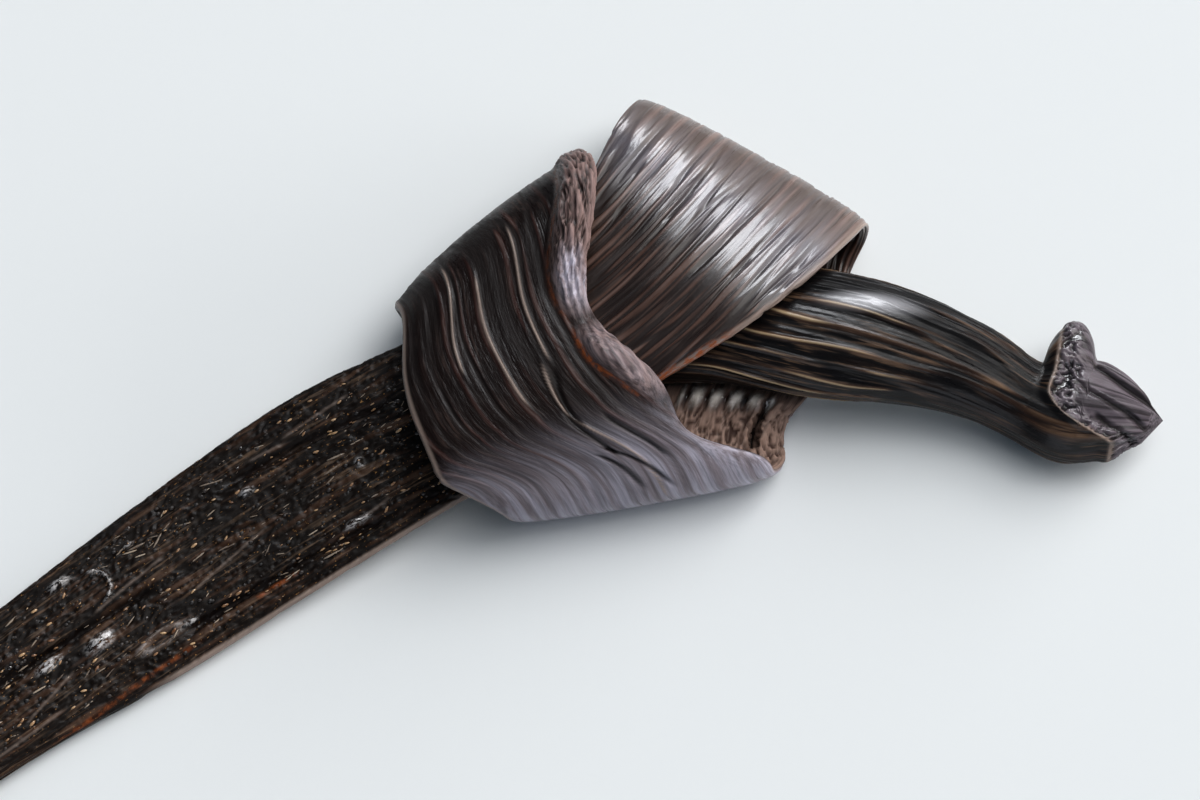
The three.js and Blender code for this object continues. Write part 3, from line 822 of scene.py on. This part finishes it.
def relief_tree():
    """Lengthwise ribs that waver, fine lines between them, narrow grooves, and crumpled
    places, all raised along the skin's normal and kept above the table."""
    tree, given, out = new_geometry_tree("pod_relief", RELIEF_SIZES)
    seed, folded = given["Seed"], given["Crumple size"]
    x, y, s = parts(tree, named(tree, "skin", "FLOAT_VECTOR"))
    slow = seeded_noise(tree, stretched(tree, (x, y, s), *SLOW_CELLS), seed, 1.0)
    x = calc(tree, "MULTIPLY_ADD", calc(tree, "SUBTRACT", slow, 0.5), given["Waver"], x)

    def cells(shares):
        return stretched(tree, (x, y, s), times(tree, given["Rib pitch"], shares[0]),
                         times(tree, given["Rib length"], shares[1]))

    rib = rib_pattern(tree, given, (x, y, s), slow, cells)
    fine = calc(tree, "SUBTRACT", seeded_noise(tree, cells(FINE_CELLS), seed, 2.0, 0.6), 0.5)
    groove = crest_line(tree, seeded_noise(tree, cells(GROOVE_CELLS), seed, 1.0, 0.4),
                        GROOVE_LINE)
    crumpled = stretched(tree, (x, y, s), folded, times(tree, folded, CRUMPLE_STRETCH))
    lumps = seeded_noise(tree, crumpled, seed, 2.0, 0.5, CRUMPLE_SWIRL)
    folds = calc(tree, "SUBTRACT", crest_line(tree, lumps, FOLD_LINE), 0.5)
    swing = calc(tree, "MULTIPLY_ADD", fine, given["Fine share"],
                 calc(tree, "SUBTRACT", rib, 0.5))
    ribs = times(tree, named(tree, "ribs"), ranged(tree, slow, 0.38, 0.58, 0.45, 1.0))
    height = times(tree, swing, given["Rib height"], ribs)
    depth = times(tree, groove, given["Groove depth"], ribs)
    crumple = times(tree, folds, given["Crumple height"], named(tree, "crumple"))
    height = calc(tree, "ADD", calc(tree, "SUBTRACT", height, depth), crumple)
    rise = put(tree, "ShaderNodeVectorMath",
               {0: put(tree, "GeometryNodeInputNormal").outputs[0],
                "Scale": times(tree, height, MM)}, operation="SCALE").outputs[0]
    moved = put(tree, "GeometryNodeSetPosition", {"Geometry": given["Geometry"],
                                                  "Offset": rise}).outputs[0]
    px, py, pz = parts(tree, put(tree, "GeometryNodeInputPosition").outputs[0])
    above = joined(tree, px, py, calc(tree, "MAXIMUM", pz, 0.0))
    crest = times(tree, calc(tree, "SUBTRACT", rib, groove, clamp=True),
                  ranged(tree, named(tree, "ribs"), 0.0, 0.4))
    kept = stored(tree, moved, "crest", crest)
    kept = stored(tree, kept, "groove", groove)
    kept = stored(tree, kept, "fold", calc(tree, "ADD", folds, 0.5))
    seated = put(tree, "GeometryNodeSetPosition", {"Geometry": kept, "Position": above})
    finish_tree(tree, seated.outputs[0], given, out)
    return tree


SCATTER_SIZES = ("Per square metre", "Size", "Stretch", "Clump size", "Clump edge")
CLUMP_STRETCH = 2.5       # how much longer than wide the clumps are
CLUMP_EASE = 0.08
GRAIN_SHARES = (0.45, 1.3)  # the smallest and largest grain, before they are squared
GRAIN_FLATNESS = 0.7
ASKEW = (0.5, 0.5, 0.2)   # how far a grain may point away from the pod's length


def scatter_tree():
    """Grains on the seeded part of the skin, in clumps, each turned along the pod and given
    its own size and tone."""
    tree, given, out = new_geometry_tree("seed_scatter", SCATTER_SIZES)
    seed, size, edge = given["Seed"], given["Clump size"], given["Clump edge"]
    skin = parts(tree, named(tree, "skin", "FLOAT_VECTOR"))
    clump_cells = stretched(tree, skin, size, times(tree, size, CLUMP_STRETCH))
    thick = ranged(tree, seeded_noise(tree, clump_cells, seed, 2.0, 0.6),
                   calc(tree, "SUBTRACT", edge, CLUMP_EASE),
                   calc(tree, "ADD", edge, CLUMP_EASE))
    spread = put(tree, "GeometryNodeDistributePointsOnFaces", {
        "Mesh": given["Geometry"], "Seed": seed,
        "Density": times(tree, thick, named(tree, "seeded"), given["Per square metre"])},
        distribute_method="RANDOM")
    grain = put(tree, "GeometryNodeMeshUVSphere",
                {"Segments": 7, "Rings": 5, "Radius": 1.0}).outputs[0]
    smoothed = put(tree, "GeometryNodeSetShadeSmooth", {"Geometry": grain}).outputs[0]
    upright = put(tree, "FunctionNodeAlignRotationToVector",
                  {"Vector": spread.outputs["Normal"]}, axis="Z").outputs[0]
    sideways = put(tree, "FunctionNodeRandomValue",
                   {0: [-part for part in ASKEW], 1: ASKEW, "Seed": seed},
                   data_type="FLOAT_VECTOR").outputs[0]
    ahead = put(tree, "ShaderNodeVectorMath",
                {0: named(tree, "ahead", "FLOAT_VECTOR"), 1: sideways},
                operation="ADD").outputs[0]
    turned = put(tree, "FunctionNodeAlignRotationToVector",
                 {"Rotation": upright, "Vector": ahead}, axis="X", pivot_axis="Z").outputs[0]
    chance = put(tree, "FunctionNodeRandomValue",
                 {2: GRAIN_SHARES[0], 3: GRAIN_SHARES[1], "Seed": seed},
                 data_type="FLOAT").outputs[1]
    radius = times(tree, calc(tree, "POWER", chance, 2.0), given["Size"])
    scale = joined(tree, times(tree, radius, given["Stretch"]), radius,
                   times(tree, radius, GRAIN_FLATNESS))
    placed = put(tree, "GeometryNodeInstanceOnPoints", {
        "Points": spread.outputs["Points"], "Instance": smoothed, "Rotation": turned,
        "Scale": scale}).outputs[0]
    tone = put(tree, "FunctionNodeRandomValue", {2: 0.0, 3: 1.0, "Seed": calc(
        tree, "ADD", seed, 9.0)}, data_type="FLOAT").outputs[1]
    finish_tree(tree, stored(tree, placed, "tone", tone, "INSTANCE"), given, out)
    return tree


def grown(piece, tree, values):
    """The piece as a plain mesh after the tree has been run on it with these input values."""
    modifier = piece.modifiers.new(tree.name, "NODES")
    modifier.node_group = tree
    for socket in tree.interface.items_tree:
        if socket.item_type == "SOCKET" and socket.name in values:
            modifier[socket.identifier] = values[socket.name]
    bpy.context.view_layer.update()
    evaluated = piece.evaluated_get(bpy.context.evaluated_depsgraph_get())
    mesh = bpy.data.meshes.new_from_object(evaluated)
    piece.modifiers.remove(modifier)
    return mesh


# ---- materials
# Skin colours and grain colours are eight-bit values as a screen shows them.
# Each pattern of the skin: width and length of its cells, detail, roughness.
SKIN_PATTERNS = {"broad": (1.6, 4.0, 2.0, 0.5), "thin": (0.2, 3.2, 3.0, 0.6),
                 "hair": (0.09, 1.3, 2.0, 0.6), "grain": (0.12, 0.2, 2.0, 0.6)}
SKIN_AMOUNTS = ("Streaks", "Specks")
# The first tone is painted shade for rib valleys and grooves; the third is a painted highlight for
# rib crests.
SKIN_TONES = ("Painted valley shade", "Body", "Painted crest light", "Streak")
SPECK = (176, 128, 76)
COAT_ROUGHNESS = 0.16
SKIN_IOR = 1.5
GROOVE_PAINTED_SHADE = 0.7
GROOVE_DULLNESS = 0.2
WET_GLOSS = 0.16          # how much smoother wet places are
LEG_DULLNESS = 0.1        # how much rougher the dry inside of the leg is
MOTTLES_PER_METRE = 9000.0
MOTTLING = 0.6            # how far the mottling changes a grain's tone
MOTTLED_ROUGHNESS = 0.2

# Colours laid over the plain skin, in this order: the mask, its strength or what breaks it
# up, and a colour, or what the colour follows and its dark and light ends. The lip, cone, pocket
# and rust colours are the skin's own; the sheen, lens, crest, glint and gleam colours are painted
# highlights and sheen, the pale colour is mostly painted highlight, and the crease colour is
# painted shade.
OVERLAYS = [
    ("lip", 0.85, "folds", (28, 19, 17), (146, 121, 117)),
    # Painted sheen, broken into patches.
    ("painted_sheen", "streaks", "sheen_patches", (142, 131, 138), (186, 181, 196)),
    # Painted sheen on the stem's top (the lens).
    ("lens", 0.85, (174, 174, 180)),
    # Painted highlight on the stem's rib crests.
    ("tan", "crests", (188, 166, 132)),
    ("cone", 0.85, "folds", (24, 20, 21), (108, 98, 106)),
    ("pocket", 0.8, "folds", (76, 57, 51), (170, 141, 127)),
    # Pale: mostly painted highlights, with some of the skin's own pale streaks.
    ("pale_marks_and_highlights", 0.75, (154, 136, 126)),
    ("rust", "blotches", (134, 68, 30)),
    # Painted shade in the creases and grooves.
    ("crease", 1.0, (18, 13, 12)),
    # Painted glints, broken into flecks.
    ("painted_glints", "glints", (214, 210, 210)),
    # Painted highlight on the pocket ridge's bumps.
    ("painted_gleam", 1.0, (240, 232, 222)),
]


def srgb(red, green, blue):
    """A linear colour from the eight-bit values that a screen shows."""
    return [((v / 255 + 0.055) / 1.055) ** 2.4 if v > 10 else v / 255 / 12.92
            for v in (red, green, blue)] + [1.0]


def attribute(tree, name, output="Fac"):
    return put(tree, "ShaderNodeAttribute", attribute_name=name).outputs[output]


def skin_group():
    """Colour, roughness and fine relief of the pod's skin, from its coordinates and masks."""
    numbers = ("Crest", "Groove", "Gloss", *SKIN_AMOUNTS)
    tree, given, out = new_tree(
        "ShaderNodeTree", "pod_skin_look",
        {"Skin": "Vector", **dict.fromkeys(numbers, "Float"),
         **dict.fromkeys(SKIN_TONES, "Color")},
        {"Color": "Color", "Roughness": "Float", "Height": "Float"})
    skin = parts(tree, given["Skin"])
    broad, thin, hair, grain = (
        noise(tree, stretched(tree, skin, width, length), detail, roughness)
        for width, length, detail, roughness in SKIN_PATTERNS.values())
    crest = times(tree, given["Crest"], ranged(tree, broad, 0.3, 0.6, 0.45, 1.0))
    # Painted shade in the rib valleys and painted highlight on the rib crests: the colour follows
    # the ribs' height.
    colour = mix_colour(tree, ranged(tree, crest, 0.0, 0.5), given["Painted valley shade"], given["Body"])
    colour = mix_colour(tree, ranged(tree, crest, 0.4, 0.85), colour, given["Painted crest light"])
    streaked = times(tree, ranged(tree, thin, 0.52, 0.68), given["Streaks"],
                     ranged(tree, broad, 0.35, 0.6))
    colour = mix_colour(tree, streaked, colour, given["Streak"])
    speck = times(tree, ranged(tree, grain, 0.66, 0.74), given["Specks"])
    colour = mix_colour(tree, speck, colour, srgb(*SPECK))
    # Painted shade: the grooves take the valley's shade colour.
    groove_shade = times(tree, given["Groove"], GROOVE_PAINTED_SHADE)
    colour = mix_colour(tree, groove_shade, colour, given["Painted valley shade"])
    shade = ranged(tree, broad, 0.3, 0.7, 0.8, 1.15, "LINEAR")
    colour = put(tree, "ShaderNodeMix", {0: 1.0, 6: colour, 7: joined(tree, *[shade] * 3)},
                 data_type="RGBA", blend_type="MULTIPLY").outputs[2]
    rough = calc(tree, "SUBTRACT", ranged(tree, thin, 0.35, 0.65, 0.26, 0.42), given["Gloss"])
    rough = calc(tree, "ADD", rough, times(tree, given["Groove"], GROOVE_DULLNESS), clamp=True)
    height = calc(tree, "MULTIPLY_ADD", thin, 0.7, times(tree, hair, 0.3))
    height = calc(tree, "MULTIPLY_ADD", grain, 0.25, height)
    fill(tree, out, {"Color": colour, "Roughness": rough, "Height": height})
    return tree


def overlaid(tree, colour):
    """The plain skin's colour with every overlay of OVERLAYS laid over it: the skin's own tints,
    painted highlights and sheen, and painted shade in the creases.
    """
    vector = attribute(tree, "skin", "Vector")
    skin = parts(tree, vector)
    streaks = noise(tree, stretched(tree, skin, 0.3, 5.0), 3.0, 0.6)
    sheen_patches = noise(tree, stretched(tree, skin, 0.6, 8.0), 3.0, 0.6)
    blotches = noise(tree, vector, 3.0, 0.6, scale=2.2)
    glints = noise(tree, stretched(tree, skin, 0.22, 0.5), 3.0, 0.7, 0.6)
    crumpled = calc(tree, "MINIMUM", attribute(tree, "crumple"), 1.0)
    breaks = {"streaks": ranged(tree, streaks, 0.32, 0.6, 0.5, 1.0),
              "crests": ranged(tree, attribute(tree, "crest"), 0.5, 1.0),
              "blotches": ranged(tree, blotches, 0.38, 0.6, 0.1, 1.0),
              "glints": ranged(tree, glints, 0.44, 0.6)}
    follows = {"folds": mix_number(tree, crumpled, ranged(tree, streaks, 0.36, 0.62, 0.2, 1.0),
                                   attribute(tree, "fold")),
               "sheen_patches": ranged(tree, sheen_patches, 0.34, 0.64)}
    for mask, strength, *tones in OVERLAYS:
        if tones[0] in follows:
            tone = mix_colour(tree, follows[tones[0]], srgb(*tones[1]), srgb(*tones[2]))
        else:
            tone = srgb(*tones[0])
        share = times(tree, attribute(tree, mask), breaks.get(strength, strength))
        colour = mix_colour(tree, share, colour, tone)
    return colour


def new_material(name):
    material = bpy.data.materials.new(name)
    material.use_nodes = True
    return material, material.node_tree, material.node_tree.nodes["Principled BSDF"].inputs


def skin_material(name, group, amounts, colours, shine, coat, bump):
    """One stretch of the pod's skin."""
    material, tree, shader = new_material(name)
    wet = attribute(tree, "wet")
    tones = [srgb(*colour) for colour in colours]
    skin = put(tree, "ShaderNodeGroup", {
        "Skin": attribute(tree, "skin", "Vector"), "Crest": attribute(tree, "crest"),
        "Groove": attribute(tree, "groove"), "Gloss": times(tree, wet, WET_GLOSS),
        **dict(zip(SKIN_AMOUNTS, amounts)), **dict(zip(SKIN_TONES, tones))},
        node_tree=group).outputs
    dull = times(tree, attribute(tree, "inner"), calc(tree, "SUBTRACT", 1.0, wet))
    relief = put(tree, "ShaderNodeBump", {"Height": skin["Height"], "Strength": 1.0,
                                          "Distance": bump}).outputs[0]
    fill(tree, shader, {
        "Base Color": overlaid(tree, skin["Color"]), "Normal": relief,
        "Roughness": calc(tree, "MULTIPLY_ADD", dull, LEG_DULLNESS, skin["Roughness"]),
        "Coat Weight": calc(tree, "ADD", wet, coat, clamp=True),
        "Coat Roughness": COAT_ROUGHNESS, "IOR": SKIN_IOR, "Specular IOR Level": shine})
    return material


def grain_material(name, dark, light, roughness, coat):
    """Grains whose colour runs from dark to light by each grain's own tone, mottled."""
    material, tree, shader = new_material(name)
    place = put(tree, "ShaderNodeTexCoord").outputs["Object"]
    mottle = noise(tree, place, 2.0, 0.6, scale=MOTTLES_PER_METRE)
    toned = calc(tree, "SUBTRACT", attribute(tree, "tone"), MOTTLING / 2)
    share = calc(tree, "MULTIPLY_ADD", mottle, MOTTLING, toned, clamp=True)
    fill(tree, shader, {
        "Base Color": mix_colour(tree, share, srgb(*dark), srgb(*light)),
        "Roughness": calc(tree, "MULTIPLY_ADD", mottle, MOTTLED_ROUGHNESS, roughness),
        "Coat Weight": coat, "Coat Roughness": 0.1})
    return material


def plain_colour(name, colour, roughness):
    material, tree, shader = new_material(name)
    fill(tree, shader, {"Base Color": (*colour, 1), "Roughness": roughness})
    return material


# ---- table, lights and camera
TABLE_REACH = 3.0         # metres from the middle of the table top to its edges
TABLE_COLOUR = (0.815, 0.845, 0.865)
ROOM_COLOUR = (0.50, 0.74, 1.0)
ROOM_LIGHT = 0.1

# Each light: azimuth, elevation, width and height in metres, power, colour. Azimuth 0 is behind
# the pod and 90 to its right.
WARM = (1.0, 0.985, 0.955)
LIGHTS = {
    "low_window": (60, 12, (2.6, 0.6), 28.0, WARM),
    "low_right": (88, 12, (1.6, 0.6), 10.0, WARM),
    "far_window": (45, 30, (1.2, 1.0), 10.0, WARM),
    "side_window": (60, 50, (1.6, 1.3), 22.0, WARM),
    "ceiling": (80, 78, (1.7, 1.7), 14.0, (1.0, 0.99, 0.98)),
    "back_window": (10, 42, (0.8, 0.46), 29.0, (0.94, 0.96, 1.0)),
    "front_wall": (180, 16, (2.8, 1.6), 26.0, (0.90, 0.92, 1.0)),
}
LIGHT_DISTANCE = 2.0
NO_GLINT = ("low_window", "low_right", "far_window", "ceiling")
ONLY_GLINT = ("back_window", "front_wall")


def make_floor():
    corners = [(x * TABLE_REACH, y * TABLE_REACH, 0)
               for x, y in ((-1, -1), (1, -1), (1, 1), (-1, 1))]
    mesh = bpy.data.meshes.new("table_top")
    mesh.from_pydata(corners, [], [(0, 1, 2, 3)])
    mesh.materials.append(plain_colour("pale_table", TABLE_COLOUR, 0.8))
    linked("table_top", mesh)


def aimed_light(name, azimuth, elevation, size, power, colour):
    """An area light that faces the knot."""
    light = bpy.data.lights.new(name, "AREA")
    light.shape = "RECTANGLE"
    light.size, light.size_y = size
    light.energy = power
    light.color = colour
    lamp = linked(name, light)
    a, e = math.radians(azimuth), math.radians(elevation)
    towards = Vector((math.sin(a) * math.cos(e), math.cos(a) * math.cos(e), math.sin(e)))
    lamp.location = Vector(KNOT_TO_ORIGIN * MM) + towards * LIGHT_DISTANCE
    lamp.rotation_euler = towards.to_track_quat("Z", "Y").to_euler()
    lamp.visible_glossy = name not in NO_GLINT
    lamp.visible_diffuse = name not in ONLY_GLINT


def make_world():
    world = bpy.data.worlds.new("pale_room")
    world.use_nodes = True
    fill(world.node_tree, world.node_tree.nodes["Background"].inputs,
         {"Color": (*ROOM_COLOUR, 1), "Strength": ROOM_LIGHT})
    bpy.context.scene.world = world


def make_camera():
    camera = linked("camera", bpy.data.cameras.new("camera"))
    e = math.radians(CAMERA_ELEVATION)
    target = np.array([KNOT_TO_ORIGIN[0], KNOT_TO_ORIGIN[1], KNOT_HEIGHT])
    camera.location = (target + CAMERA_DISTANCE * np.array([0, -math.cos(e), math.sin(e)])) * MM
    camera.rotation_euler = (math.pi / 2 - e, 0, 0)
    camera.data.sensor_width = SENSOR
    camera.data.lens = SENSOR * CAMERA_DISTANCE / VIEW_WIDTH
    camera.data.clip_start = 0.01
    bpy.context.scene.camera = camera


# ---- building the scene
# The looks of the pod's skin: SKIN_AMOUNTS, SKIN_TONES, how strongly it mirrors, its coat, and
# the height of its finest relief in metres. Of the tones, the first is painted shade in rib valleys
# and grooves and the third a painted highlight on rib crests.
LOOKS = {
    "seedy_leg": ((0.5, 0.7), ((15, 9, 6), (49, 32, 22), (66, 48, 37), (110, 88, 70)),
                  0.12, 0.0, 0.00004),
    "ribbed_band": ((0.3, 0.0), ((34, 23, 19), (80, 57, 48), (100, 79, 72), (104, 84, 76)),
                    0.26, 0.5, 0.00004),
    "ribbed_wrap": ((0.35, 0.0), ((22, 14, 12), (54, 34, 30), (88, 72, 68), (74, 56, 50)),
                    0.13, 0.02, 0.00004),
    "golden_ribs": ((0.65, 0.0), ((10, 8, 9), (54, 38, 30), (114, 90, 70), (104, 80, 62)),
                    0.16, 0.05, 0.00003),
}
STEM_RIBS = 20

# The relief of each look, in the order of RELIEF_SIZES.
RELIEFS = {
    "seedy_leg": (0.45, 0.06, 7.0, 0.0, 0.9, 0.06, 0.8, 0.08, 1.3, 1.0),
    "ribbed_band": (0.38, 0.06, 12.0, 0.0, 0.4, 0.15, 1.4, 0.05, 1.3, 1.0),
    "ribbed_wrap": (1.08, 0.05, 30.0, 0.8, 0.12, 0.05, 0.8, 0.19, 0.5, 7.0),
    "golden_ribs": (2 * math.pi * STEM_RADIUS / STEM_RIBS, 0.19, 18.0, 0.75, 1.1, 0.09, 0.7,
                    0.14, 1.0, 4.5),
}

# Each stretch of the pod: where it starts and ends, its rings and the points round each, and
# its look. The last one ends with the pod.
PIECES = {
    "pod_leg_end": ((0.0, 30.0), (250, 220), "seedy_leg"),
    "pod_open_leg": ((30.0, 67.0), (330, 290), "seedy_leg"),
    "pod_back_band": ((67.0, WRAP_START), (190, 500), "ribbed_band"),
    "pod_front_wrap": ((WRAP_START, 141.0), (200, 480), "ribbed_wrap"),
    "pod_stem": ((141.0, math.inf), (310, 315), "golden_ribs"),
}

# Grains that lie on the split leg: how many, half their width, how much longer than wide, the
# size of their clumps and how much of the skin the clumps leave bare. Then the material's name,
# dark and light colour, roughness and coat.
GRAINS = {
    "seeds_black": ((2.6e6, 0.00007, 1.4, 1.2, 0.42),
                    ("seed_black", (10, 8, 7), (40, 29, 22), 0.45, 0.15)),
    "crumbs_gold": ((1.7e6, 0.00005, 2.8, 0.9, 0.50),
                    ("crumb_gold", (112, 68, 34), (196, 158, 114), 0.35, 0.5)),
    "fibres_tan": ((1.1e6, 0.000035, 10.0, 1.6, 0.48),
                   ("fibre_tan", (84, 66, 52), (178, 160, 140), 0.4, 0.3)),
    "oil_beads": ((0.16e6, 0.00009, 1.4, 2.0, 0.50),
                  ("oil_bead", (22, 15, 12), (60, 46, 38), 0.06, 1.0)),
}
GRAIN_BED = {"from": 4.0, "to": 67.0, "rings": 300, "around": 160}


def attach(piece):
    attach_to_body(piece, "root")
    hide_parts("vanilla_pod")


def make_pod():
    relief, look_of_skin = relief_tree(), skin_group()
    skins = {name: skin_material(name, look_of_skin, *look) for name, look in LOOKS.items()}
    for seed, (name, (ends, grid, look)) in enumerate(PIECES.items()):
        pod = loft(name, *ends, *grid)
        sizes = dict(zip(RELIEF_SIZES, RELIEFS[look]))
        pod.data = grown(pod, relief, {**sizes, "Seed": seed, "Material": skins[look]})
        attach(pod)


def make_grains():
    scatter = scatter_tree()
    bed = loft("leg_surface", *GRAIN_BED.values())
    for seed, (name, (sizes, look)) in enumerate(GRAINS.items()):
        values = dict(zip(SCATTER_SIZES, sizes))
        values.update({"Seed": seed, "Material": grain_material(*look)})
        attach(linked(name, grown(bed, scatter, values)))
    bpy.data.objects.remove(bed)


for stretch in (blossom_leg, band_over_stem, first_fold, band_under_stem, second_fold,
                front_wrap, third_fold, stem_leg, stem_cap):
    stretch()
route = sample_route()

make_camera()
make_floor()
make_world()
for light_name, setting in LIGHTS.items():
    aimed_light(light_name, *setting)
bpy.context.scene.view_settings.view_transform = "Standard"
make_pod()
make_grains()
